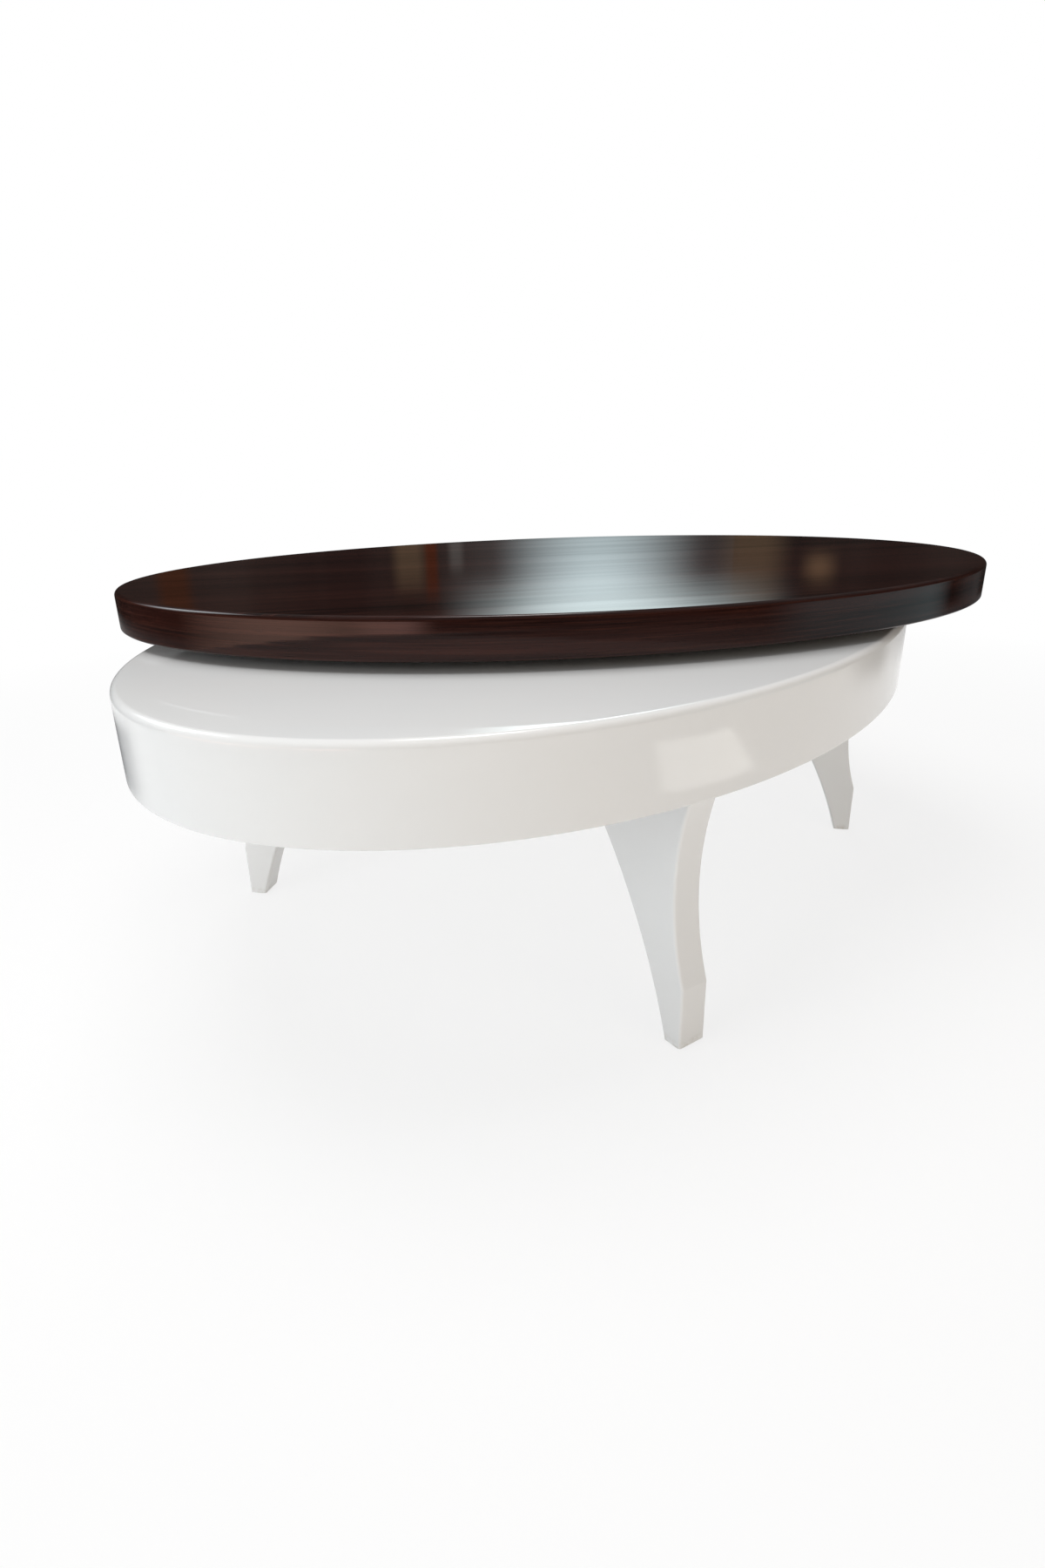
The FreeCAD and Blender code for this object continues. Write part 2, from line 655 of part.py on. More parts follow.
ring_screw = make_screw("ring_screw", "ring_screw_head", "ring_screw_radius", "ring_screw_length")
outer_ring_top = f"{BASE_UPPER_FACE} + ring_height"
scatter("outer_ring_screws", ring_screw, outer_screws, outer_ring_top, upside_down=True)
turned_screws = circle_points(INNER_SCREW_CIRCLE, ring_screw_count, "ring_screw_start + top_turn")
scatter("inner_ring_screws", ring_screw, turned_screws, INNER_RING_UNDERSIDE)

# Top: boards, curved edge pieces, and the core between them
lower, lower_blank = oval_board(
    "tabletop_lower_board", TOP_OVAL, "lower_board_thickness", TOP_UNDERSIDE, "top_turn"
)
fillet(lower, lower_blank, rim_edges(lower_blank, upper=False), "top_underside_ease")
drill(lower, inner_screws, ring_screw_hole)

edge_segments(
    "tabletop_edge", TOP_OVAL, EDGE_INSIDE, "edge_joint_offset", CORE_THICKNESS, TOP_CORE, "top_turn"
)
top_block = block("tabletop_swivel_block", pad_bounds, CORE_THICKNESS, TOP_CORE, "top_turn")
drill(top_block, inner_screws, ring_screw_hole)

half_rail = "core_rail_width / 2"
core_rails = {
    "left": ("-top_length / 2", f"-{PAD_HALF}", f"-{half_rail}", half_rail),
    "right": (PAD_HALF, "top_length / 2", f"-{half_rail}", half_rail),
    "front": (f"-{half_rail}", half_rail, "-top_width / 2", f"-{PAD_HALF}"),
    "back": (f"-{half_rail}", half_rail, PAD_HALF, "top_width / 2"),
}
for side, limits in core_rails.items():
    block(f"tabletop_rail_{side}", limits, CORE_THICKNESS, TOP_CORE, "top_turn", EDGE_INSIDE)

upper, upper_blank = oval_board(
    "tabletop_upper_board", TOP_OVAL, "upper_board_thickness", UPPER_BOARD, "top_turn"
)
fillet(upper, upper_blank, rim_edges(upper_blank, upper=True), "top_roundover")

# Check every piece, then write it
doc.recompute()
for thing in doc.Objects:
    if "Invalid" in thing.State or "Error" in thing.State:
        raise RuntimeError(f"{thing.Name} failed: {thing.State}")
os.makedirs("parts", exist_ok=True)
for node in NODES:
    if node.Shape.isNull() or not node.Shape.isValid() or not node.Shape.Solids:
        raise RuntimeError(f"{node.Label} has no valid solid")
for node in NODES:
    node.Shape.exportStep(f"parts/{node.Label}.step")
    print(f"{node.Label}: {len(node.Shape.Solids)} solids, {node.Shape.Volume / 1000:.1f} cm3")
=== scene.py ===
"""Looks of the swivel coffee table: a stained oval top that turns over a white oval base on sabre legs."""

import json
import logging
import math
from collections.abc import Callable
from dataclasses import dataclass, field
from enum import Enum

import bmesh
import bpy
from mathutils import Matrix, Vector


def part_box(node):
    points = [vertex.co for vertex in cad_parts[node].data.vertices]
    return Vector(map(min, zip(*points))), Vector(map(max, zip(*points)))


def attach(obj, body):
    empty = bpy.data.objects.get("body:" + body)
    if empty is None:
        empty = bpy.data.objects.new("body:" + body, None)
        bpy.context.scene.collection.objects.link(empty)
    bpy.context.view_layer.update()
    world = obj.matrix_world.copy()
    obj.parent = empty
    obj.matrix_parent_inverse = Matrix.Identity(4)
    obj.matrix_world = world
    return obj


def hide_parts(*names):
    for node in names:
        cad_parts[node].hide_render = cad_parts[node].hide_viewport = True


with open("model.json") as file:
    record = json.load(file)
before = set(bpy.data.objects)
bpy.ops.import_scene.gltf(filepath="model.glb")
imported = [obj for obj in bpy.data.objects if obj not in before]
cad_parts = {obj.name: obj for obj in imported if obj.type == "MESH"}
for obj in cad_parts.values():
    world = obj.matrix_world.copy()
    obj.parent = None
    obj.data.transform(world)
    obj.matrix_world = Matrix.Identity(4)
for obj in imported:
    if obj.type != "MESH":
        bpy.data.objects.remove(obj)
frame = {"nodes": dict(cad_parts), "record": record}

Colour = tuple[float, float, float, float]
Point = tuple[float, float, float]
Pair = tuple[float, float]
Socket = bpy.types.NodeSocket

SIDES = ("front", "back", "front_left", "back_left", "front_right", "back_right")
CORNERS = ("front_left", "front_right", "back_left", "back_right")

MM = 0.001
WELD = 0.01 * MM
NEAR = 0.1 * MM
SMOOTH_ANGLE = math.radians(30.0)

WHITE: Colour = (1.0, 1.0, 1.0, 1.0)
MOST_OF_NOISE: Pair = (0.3, 0.7)

log = logging.getLogger("swivel_table")


class Slot(Enum):
    """Material slots that the record names."""

    WHITE_LACQUER = "white_lacquer"
    FRAME_TIMBER = "frame_timber"
    ZINC_STEEL = "zinc_steel"
    BEARING_ALUMINIUM = "bearing_aluminium"
    BALL_STEEL = "ball_steel"
    CAGE_NYLON = "cage_nylon"
    GLIDE_NYLON = "glide_nylon"
    STAINED_WOOD = "stained_wood"


class Body(Enum):
    """Moving bodies that pieces ride on."""

    BASE = "base"
    TABLETOP = "tabletop"


class GrainRun(Enum):
    """Which way the grain of the stained wood runs."""

    ALONG_FACE = "face"
    ROUND_EDGE = "edge"


class CardStand(Enum):
    """How a card is held."""

    UPRIGHT = "upright"
    ON_FLOOR = "on the floor"


# Modelling moves


def start_piece(name: str) -> bpy.types.Object:
    """Name the primitive that was just added and open it in edit mode.

    Args:
        name: The piece's name.

    Returns:
        The piece's object, in edit mode with everything selected.
    """
    piece = bpy.context.object
    piece.name = name
    piece.data.name = name
    bpy.ops.object.mode_set(mode="EDIT")
    bpy.ops.mesh.select_all(action="SELECT")
    return piece


def select_faces(test: Callable[[Vector], bool]) -> None:
    """Select the faces of the piece in edit mode that pass a test.

    Args:
        test: Takes a face's middle.
    """
    bpy.ops.mesh.select_mode(type="FACE")
    bpy.ops.mesh.select_all(action="DESELECT")
    mesh = bpy.context.object.data
    shape = bmesh.from_edit_mesh(mesh)
    for face in shape.faces:
        face.select_set(test(face.calc_center_median()))
    bmesh.update_edit_mesh(mesh)


def select_edges(test: Callable[[Vector, Vector], bool]) -> None:
    """Select the edges of the piece in edit mode that pass a test.

    Args:
        test: Takes an edge's two ends.
    """
    bpy.ops.mesh.select_mode(type="EDGE")
    bpy.ops.mesh.select_all(action="DESELECT")
    mesh = bpy.context.object.data
    shape = bmesh.from_edit_mesh(mesh)
    for edge in shape.edges:
        edge.select_set(test(edge.verts[0].co, edge.verts[1].co))
    bmesh.update_edit_mesh(mesh)


def extrude(step: Point) -> None:
    """Extrude what is selected by a step."""
    bpy.ops.mesh.extrude_region_move(TRANSFORM_OT_translate={"value": step})


def resize(scale: Point, middle: Point) -> None:
    """Scale what is selected about a point."""
    bpy.ops.transform.resize(value=scale, center_override=middle)


def bevel(width: float, segments: int) -> None:
    """Round the selected edges.

    Args:
        width: Radius of the rounding.
        segments: Faces across the rounding.
    """
    bpy.ops.mesh.bevel(offset=width, segments=segments, profile=0.5, affect="EDGES")


def spin_to(middle: Pair, start: Pair, end: Pair, steps: int) -> None:
    """Carry an outline in the upright XZ plane on along an arc.

    Args:
        middle: The arc's centre.
        start: Where the outline is.
        end: Where the arc ends.
        steps: Edges along the arc.
    """
    first = math.atan2(start[1] - middle[1], start[0] - middle[0])
    last = math.atan2(end[1] - middle[1], end[0] - middle[0])
    sweep = math.remainder(last - first, 2 * math.pi)
    centre = (middle[0], 0.0, middle[1])
    bpy.ops.mesh.spin(steps=steps, angle=sweep, center=centre, axis=(0.0, 1.0, 0.0))


def finish_piece(piece: bpy.types.Object) -> None:
    """Close the mesh, turn its faces outwards, leave edit mode and shade it.

    Args:
        piece: The piece in edit mode.
    """
    bpy.ops.mesh.select_mode(type="VERT")
    bpy.ops.mesh.select_all(action="SELECT")
    bpy.ops.mesh.remove_doubles(threshold=WELD)
    bpy.ops.mesh.normals_make_consistent(inside=False)
    bpy.ops.object.mode_set(mode="OBJECT")
    bpy.ops.object.shade_smooth_by_angle(angle=SMOOTH_ANGLE)
    normals = piece.modifiers.new("flat_faces_lead", "WEIGHTED_NORMAL")
    normals.keep_sharp = True
    bpy.ops.object.modifier_apply(modifier=normals.name)


def settle(piece: bpy.types.Object, turn: float, place: Point) -> None:
    """Turn and move a piece, and put its place in its mesh.

    Args:
        piece: The piece, selected and active.
        turn: Turn about the upright axis, in radians.
        place: Where the piece's own origin goes.
    """
    piece.rotation_euler = (0.0, 0.0, turn)
    piece.location = place
    bpy.ops.object.transform_apply(location=True, rotation=True, scale=True)


# Finishes


class NodeMaker:
    """A node tree that is made a node at a time."""

    def __init__(self, tree: bpy.types.NodeTree) -> None:
        """Empty the tree and start with it."""
        self.tree = tree
        self.tree.nodes.clear()

    def add(self, kind: str, inputs: dict[str | int, object], **settings: object) -> bpy.types.Node:
        """Add a node, with its settings made and its sockets set or linked.

        Args:
            kind: Blender's name for the node.
            inputs: Values or output sockets for the node's own input sockets.
            settings: Attributes of the node.

        Returns:
            The new node.
        """
        node = self.tree.nodes.new(kind)
        for name, value in settings.items():
            setattr(node, name, value)
        for socket, value in inputs.items():
            if isinstance(value, Socket):
                self.tree.links.new(value, node.inputs[socket])
            else:
                node.inputs[socket].default_value = value
        return node

    def maths(self, operation: str, *values: object) -> Socket:
        """Work out a number.

        Args:
            operation: Blender's name for the operation.
            values: Numbers or sockets, in the operation's order.

        Returns:
            The socket that gives the result.
        """
        return self.add("ShaderNodeMath", dict(enumerate(values)), operation=operation).outputs[0]

    def spread(self, value: Socket, span: Pair, result: Pair = (0.0, 1.0), smooth: bool = False) -> Socket:
        """Map one span of a value to another and cut it off there.

        Args:
            value: What is mapped.
            span: The part of it that is used.
            result: What the ends of that part become.
            smooth: Whether it eases in and out.

        Returns:
            The socket that gives the mapped value.
        """
        inputs = {
            "Value": value,
            "From Min": span[0],
            "From Max": span[1],
            "To Min": result[0],
            "To Max": result[1],
        }
        ease = "SMOOTHSTEP" if smooth else "LINEAR"
        return self.add("ShaderNodeMapRange", inputs, interpolation_type=ease).outputs[0]

    def plainly_seen(self) -> Socket:
        """Give 1 where the camera sees it, directly, in a reflection or through glass, and otherwise 0."""
        path = self.add("ShaderNodeLightPath", {}).outputs
        seen = self.maths("MAXIMUM", path["Is Camera Ray"], path["Is Glossy Ray"])
        return self.maths("MAXIMUM", seen, path["Is Transmission Ray"])


class FinishNodes(NodeMaker):
    """The node tree of one material."""

    def __init__(self, name: str) -> None:
        """Start an empty material with that name."""
        self.material = bpy.data.materials.new(name)
        self.material.use_nodes = True
        super().__init__(self.material.node_tree)

    def place(self) -> Socket:
        """Give the place on the piece, as object coordinates."""
        return self.add("ShaderNodeTexCoord", {}).outputs["Object"]

    def stretched_place(self, scale: Point, turn: float = 0.0) -> Socket:
        """Object coordinates, turned about the upright axis and then stretched.

        Args:
            scale: Stretch along each turned axis.
            turn: Turn in radians.

        Returns:
            The socket that gives the place.
        """
        place = self.place()
        if turn:
            place = self.add("ShaderNodeMapping", {"Vector": place, "Rotation": (0.0, 0.0, turn)}).outputs[0]
        return self.add("ShaderNodeMapping", {"Vector": place, "Scale": scale}).outputs[0]

    def noise(self, place: Socket, scale: float, detail: float, rough: float = 0.5) -> Socket:
        """Cloudy variation from 0 to 1.

        Args:
            place: Where the pattern is read.
            scale: Clouds to the unit of place.
            detail: How many finer layers are added.
            rough: Strength of each finer layer.

        Returns:
            The socket that gives the variation.
        """
        inputs = {"Vector": place, "Scale": scale, "Detail": detail, "Roughness": rough}
        return self.add("ShaderNodeTexNoise", inputs).outputs[0]

    def blend(self, share: Socket, first: object, second: object) -> Socket:
        """Blend two colours.

        Args:
            share: 0 for the first colour, 1 for the second.
            first: A colour or a socket.
            second: A colour or a socket.

        Returns:
            The socket that gives the blended colour.
        """
        return self.add("ShaderNodeMix", {0: share, 6: first, 7: second}, data_type="RGBA").outputs[2]

    def bump(self, height: Socket, depth: float, strength: float) -> Socket:
        """Surface relief.

        Args:
            height: The relief from 0 to 1.
            depth: How deep it is, in metres.
            strength: How much of it shows.

        Returns:
            The socket that gives the normal.
        """
        inputs = {"Height": height, "Distance": depth, "Strength": strength}
        return self.add("ShaderNodeBump", inputs).outputs[0]

    def glow(self, colour: object, strength: object) -> Socket:
        """Give the shader of a surface that glows."""
        return self.add("ShaderNodeEmission", {"Color": colour, "Strength": strength}).outputs[0]

    def clear(self) -> Socket:
        """Give the shader of a surface that can't be seen."""
        return self.add("ShaderNodeBsdfTransparent", {}).outputs[0]

    def mix(self, share: Socket, first: Socket, second: Socket) -> Socket:
        """Give the shader that goes from the first to the second as the share goes from 0 to 1."""
        return self.add("ShaderNodeMixShader", {0: share, 1: first, 2: second}).outputs[0]

    def close(self, shader: Socket) -> bpy.types.Material:
        """Close the tree with a shader, and give the finished material."""
        self.add("ShaderNodeOutputMaterial", {"Surface": shader})
        return self.material

    def surface(self, inputs: dict[str, object]) -> bpy.types.Material:
        """Close the tree with one principled surface.

        Args:
            inputs: Values or sockets for the surface.

        Returns:
            The finished material.
        """
        return self.close(self.add("ShaderNodeBsdfPrincipled", inputs).outputs[0])


@dataclass(frozen=True)
class Grain:
    """How close the layers of the stained wood's grain lie along X, Y and Z, and how the whole is turned."""

    ribbon: Point
    fibre: Point
    pore: Point
    turn: float = 0.0


GRAIN = {
    GrainRun.ALONG_FACE: Grain((0.9, 22.0, 1.0), (5.0, 260.0, 1.0), (40.0, 1400.0, 1.0), math.radians(45.0)),
    GrainRun.ROUND_EDGE: Grain((2.2, 2.2, 60.0), (6.0, 6.0, 420.0), (45.0, 45.0, 1500.0)),
}


@dataclass(frozen=True)
class StainedWood:
    """Dark red-brown stain under gloss lacquer, with fine straight grain."""

    dark: Colour = (0.0076, 0.0029, 0.0024, 1.0)
    red: Colour = (0.0280, 0.0081, 0.0058, 1.0)
    streak: Colour = (0.0480, 0.0158, 0.0107, 1.0)
    streak_share: float = 0.85
    pore_share: float = 0.7
    roughness: Pair = (0.30, 0.42)
    fibre_depth: float = 0.12 * MM
    fibre_relief: float = 0.12
    fibre_sink: float = 0.04
    coat_weight: Pair = (0.82, 1.0)
    coat_roughness: float = 0.07
    coat_ior: float = 1.36
    coat_depth: float = 0.5 * MM
    coat_relief: float = 0.3

    def material(self, name: str, run: GrainRun) -> bpy.types.Material:
        """Make the finish for one side of the top.

        Args:
            name: The material's name.
            run: Which way its grain runs.

        Returns:
            The material.
        """
        nodes = FinishNodes(name)
        grain = GRAIN[run]
        ribbon = nodes.noise(nodes.stretched_place(grain.ribbon, grain.turn), 1.0, 3.0)
        fibre = nodes.noise(nodes.stretched_place(grain.fibre, grain.turn), 1.0, 5.0, 0.6)
        pore = nodes.noise(nodes.stretched_place(grain.pore, grain.turn), 1.0, 2.0)
        stain = nodes.blend(nodes.spread(ribbon, (0.32, 0.68)), self.dark, self.red)
        stain = nodes.blend(nodes.spread(fibre, (0.48, 0.74), (0.0, self.streak_share)), stain, self.streak)
        stain = nodes.blend(nodes.spread(pore, (0.60, 0.72), (0.0, self.pore_share)), stain, self.dark)
        sunk = nodes.maths("MULTIPLY_ADD", fibre, self.fibre_sink, ribbon)
        return nodes.surface({
            "Base Color": stain,
            "Roughness": nodes.spread(fibre, MOST_OF_NOISE, self.roughness),
            "Normal": nodes.bump(fibre, self.fibre_depth, self.fibre_relief),
            "Specular IOR Level": 0.0,
            "Coat Weight": nodes.spread(sunk, (0.32, 0.62), self.coat_weight),
            "Coat Roughness": self.coat_roughness,
            "Coat IOR": self.coat_ior,
            "Coat Normal": nodes.bump(sunk, self.coat_depth, self.coat_relief),
        })


@dataclass(frozen=True)
class WhiteLacquer:
    """Gloss white lacquer over board, with a faint orange peel and scuffed feet."""

    white: Colour = (0.80, 0.80, 0.795, 1.0)
    cool: Colour = (0.785, 0.79, 0.79, 1.0)
    scuff: Colour = (0.50, 0.46, 0.40, 1.0)
    scuff_share: float = 0.8
    scuff_foot: float = 2 * MM
    scuff_height: float = 9 * MM
    cloud_scale: float = 5.0
    rub_scale: float = 160.0
    roughness: Pair = (0.24, 0.30)
    coat_roughness: float = 0.03
    coat_ior: float = 1.5
    peel_scale: float = 420.0
    peel_depth: float = 0.02 * MM
    peel_relief: float = 0.15

    def material(self, name: str) -> bpy.types.Material:
        """Make the finish.

        Args:
            name: The material's name.

        Returns:
            The material.
        """
        nodes = FinishNodes(name)
        place = nodes.place()
        cloud = nodes.noise(place, self.cloud_scale, 4.0, 0.6)
        peel = nodes.noise(place, self.peel_scale, 1.0)
        rub = nodes.noise(place, self.rub_scale, 4.0, 0.7)
        height = nodes.add("ShaderNodeSeparateXYZ", {"Vector": place}).outputs["Z"]
        low = nodes.spread(height, (self.scuff_foot, self.scuff_foot + self.scuff_height), (1.0, 0.0))
        patch = nodes.spread(rub, (0.45, 0.7), (0.0, self.scuff_share))
        paint = nodes.blend(nodes.spread(cloud, (0.35, 0.65)), self.white, self.cool)
        paint = nodes.blend(nodes.maths("MULTIPLY", low, patch), paint, self.scuff)
        return nodes.surface({
            "Base Color": paint,
            "Roughness": nodes.spread(cloud, MOST_OF_NOISE, self.roughness),
            "Specular IOR Level": 0.0,
            "Coat Weight": 1.0,
            "Coat Roughness": self.coat_roughness,
            "Coat IOR": self.coat_ior,
            "Coat Normal": nodes.bump(peel, self.peel_depth, self.peel_relief),
        })


@dataclass(frozen=True)
class RawBoard:
    """Unfinished softwood of the hidden frame."""

    pale: Colour = (0.62, 0.46, 0.29, 1.0)
    brown: Colour = (0.42, 0.27, 0.14, 1.0)
    ring_stretch: Point = (2.0, 40.0, 40.0)
    fibre_stretch: Point = (12.0, 600.0, 600.0)
    fibre_depth: float = 0.2 * MM
    fibre_relief: float = 0.3
    roughness: Pair = (0.65, 0.85)

    def material(self, name: str) -> bpy.types.Material:
        """Make the finish.

        Args:
            name: The material's name.

        Returns:
            The material.
        """
        nodes = FinishNodes(name)
        ring = nodes.noise(nodes.stretched_place(self.ring_stretch), 1.0, 4.0, 0.6)
        fibre = nodes.noise(nodes.stretched_place(self.fibre_stretch), 1.0, 2.0)
        wood = nodes.blend(nodes.spread(ring, (0.35, 0.7)), self.pale, self.brown)
        return nodes.surface({
            "Base Color": wood,
            "Roughness": nodes.spread(fibre, MOST_OF_NOISE, self.roughness),
            "Normal": nodes.bump(fibre, self.fibre_depth, self.fibre_relief),
        })


@dataclass(frozen=True)
class Metal:
    """Bare or plated metal with fine variation."""

    bright: Colour
    dull: Colour
    grain: float
    roughness: Pair
    grain_depth: float = 0.02 * MM
    grain_relief: float = 0.1

    def material(self, name: str) -> bpy.types.Material:
        """Make the finish.

        Args:
            name: The material's name.

        Returns:
            The material.
        """
        nodes = FinishNodes(name)
        mottle = nodes.noise(nodes.place(), self.grain, 3.0, 0.6)
        tone = nodes.blend(nodes.spread(mottle, (0.35, 0.65)), self.bright, self.dull)
        return nodes.surface({
            "Base Color": tone,
            "Metallic": 1.0,
            "Roughness": nodes.spread(mottle, MOST_OF_NOISE, self.roughness),
            "Normal": nodes.bump(mottle, self.grain_depth, self.grain_relief),
        })


@dataclass(frozen=True)
class Nylon:
    """Moulded natural nylon."""

    clean: Colour
    worn: Colour
    speck_scale: float = 500.0
    speck_depth: float = 0.05 * MM
    speck_relief: float = 0.2
    roughness: Pair = (0.38, 0.55)

    def material(self, name: str) -> bpy.types.Material:
        """Make the finish.

        Args:
            name: The material's name.

        Returns:
            The material.
        """
        nodes = FinishNodes(name)
        speck = nodes.noise(nodes.place(), self.speck_scale, 3.0, 0.6)
        tone = nodes.blend(nodes.spread(speck, (0.4, 0.7)), self.clean, self.worn)
        return nodes.surface({
            "Base Color": tone,
            "Roughness": nodes.spread(speck, MOST_OF_NOISE, self.roughness),
            "Normal": nodes.bump(speck, self.speck_depth, self.speck_relief),
        })


class Finishes:
    """Every finish of the table, made once."""

    def __init__(self) -> None:
        """Make the materials."""
        stain = StainedWood()
        self.top_face = stain.material("stained_face", GrainRun.ALONG_FACE)
        self.top_edge = stain.material("stained_edge", GrainRun.ROUND_EDGE)
        zinc = Metal((0.62, 0.64, 0.66, 1.0), (0.46, 0.49, 0.52, 1.0), 260.0, roughness=(0.28, 0.45))
        aluminium = Metal((0.75, 0.76, 0.77, 1.0), (0.62, 0.63, 0.64, 1.0), 700.0, roughness=(0.30, 0.42))
        chrome = Metal((0.80, 0.80, 0.82, 1.0), (0.72, 0.72, 0.74, 1.0), 900.0, roughness=(0.08, 0.16))
        glide = Nylon((0.74, 0.73, 0.70, 1.0), (0.50, 0.47, 0.42, 1.0))
        cage = Nylon((0.72, 0.71, 0.64, 1.0), (0.60, 0.58, 0.50, 1.0))
        self.by_slot: dict[Slot, bpy.types.Material] = {
            Slot.WHITE_LACQUER: WhiteLacquer().material("white_gloss"),
            Slot.FRAME_TIMBER: RawBoard().material("raw_board"),
            Slot.ZINC_STEEL: zinc.material("zinc_plate"),
            Slot.BEARING_ALUMINIUM: aluminium.material("satin_aluminium"),
            Slot.BALL_STEEL: chrome.material("bright_ball_steel"),
            Slot.CAGE_NYLON: cage.material("cage_nylon"),
            Slot.GLIDE_NYLON: glide.material("glide_nylon"),
            Slot.STAINED_WOOD: self.top_face,
        }

    def paint(self, piece: bpy.types.Object, slot: Slot) -> None:
        """Give a piece one finish all over.

        Args:
            piece: The piece.
            slot: The record's slot that the finish belongs to.
        """
        piece.data.materials.clear()
        piece.data.materials.append(self.by_slot[slot])


# The table


@dataclass
class OvalSlab:
    """An oval slab with a rounded upper rim and an eased lower one, which top and base start from."""

    length: float = field(init=False)
    width: float = field(init=False)
    upper: float = field(init=False)
    lower: float = field(init=False)
    upper_round: float = field(init=False)
    lower_ease: float = field(init=False)
    facets: int = field(init=False)
    round_facets: int = 8
    ease_facets: int = 4
    flat_inset: float = 12 * MM

    def raise_slab(self, name: str) -> bpy.types.Object:
        """Model the slab, and leave it in edit mode with its lower face at height 0 of its own.

        Args:
            name: The piece's name.

        Returns:
            The piece in edit mode.
        """
        seat = (0.0, 0.0, self.lower)
        bpy.ops.object.select_all(action="DESELECT")
        bpy.ops.mesh.primitive_circle_add(vertices=self.facets, radius=1.0, fill_type="NGON", location=seat)
        piece = start_piece(name)
        resize((self.length / 2, self.width / 2, 1.0), seat)
        depth = self.upper - self.lower
        extrude((0.0, 0.0, depth))
        select_edges(lambda a, b: min(a.z, b.z) > depth / 2)
        bevel(self.upper_round, self.round_facets)
        select_edges(lambda a, b: max(a.z, b.z) < NEAR)
        bevel(self.lower_ease, self.ease_facets)
        return piece

    def select_flats(self, *heights: float) -> None:
        """Select the flat faces at these heights of the slab's own."""
        select_faces(lambda middle: middle.xy.length < MM and any(abs(middle.z - z) < NEAR for z in heights))


@dataclass
class OvalTop(OvalSlab):
    """The turning top: one oval slab with a rounded upper rim."""

    length: float = 1.084
    width: float = 0.696
    upper_round: float = 5 * MM
    lower_ease: float = 2 * MM
    facets: int = 288
    turn: float = math.radians(-45.0)
    edge_slope: float = 0.72

    def __post_init__(self) -> None:
        """Take the heights of the two faces from the solids."""
        self.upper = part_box("tabletop_upper_board")[1].z
        self.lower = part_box("tabletop_lower_board")[0].z

    def build(self) -> bpy.types.Object:
        """Model the slab.

        Returns:
            The finished piece.
        """
        piece = self.raise_slab("oval_top")
        self.select_flats(0.0, self.upper - self.lower)
        bpy.ops.mesh.inset(thickness=self.flat_inset, depth=0.0)
        finish_piece(piece)
        settle(piece, self.turn, (0.0, 0.0, self.lower))
        return piece

    def dress(self, piece: bpy.types.Object, finishes: Finishes) -> None:
        """Give the faces and the edge their grain, and stand the slab in for the boards.

        Args:
            piece: The slab.
            finishes: The table's finishes.
        """
        piece.data.materials.append(finishes.top_face)
        piece.data.materials.append(finishes.top_edge)
        for face in piece.data.polygons:
            face.material_index = 1 if abs(face.normal.z) < self.edge_slope else 0
        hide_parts("tabletop_upper_board", "tabletop_lower_board")
        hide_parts(*[f"tabletop_edge_{side}" for side in SIDES])
        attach(piece, Body.TABLETOP.value)


@dataclass
class OvalBase(OvalSlab):
    """The white base: one oval shell, open below, with a rounded upper rim."""

    upper_round: float = 7 * MM
    lower_ease: float = 1.5 * MM
    facets: int = 320
    wall: float = 18 * MM
    ceiling: float = field(init=False)

    def __post_init__(self) -> None:
        """Take the oval and the heights from the solids."""
        low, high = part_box("base_top_panel")
        self.length = high.x - low.x
        self.width = high.y - low.y
        self.upper = high.z
        self.ceiling = low.z
        self.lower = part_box("apron_front")[0].z

    def build(self) -> bpy.types.Object:
        """Model the shell.

        Returns:
            The finished piece.
        """
        piece = self.raise_slab("oval_base")
        self.select_flats(self.upper - self.lower)
        bpy.ops.mesh.inset(thickness=self.flat_inset, depth=0.0)
        self.select_flats(0.0)
        extrude((0.0, 0.0, 0.0))
        inside = (self.length / 2 - self.wall, self.width / 2 - self.wall)
        rim = (self.length / 2 - self.lower_ease, self.width / 2 - self.lower_ease)
        resize((inside[0] / rim[0], inside[1] / rim[1], 1.0), (0.0, 0.0, self.lower))
        extrude((0.0, 0.0, self.ceiling - self.lower))
        finish_piece(piece)
        settle(piece, 0.0, (0.0, 0.0, self.lower))
        return piece

    def dress(self, piece: bpy.types.Object, finishes: Finishes) -> None:
        """Paint the shell and stand it in for the panel and the curved wall.

        Args:
            piece: The shell.
            finishes: The table's finishes.
        """
        finishes.paint(piece, Slot.WHITE_LACQUER)
        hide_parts("base_top_panel", *[f"apron_{side}" for side in SIDES])
        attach(piece, Body.BASE.value)


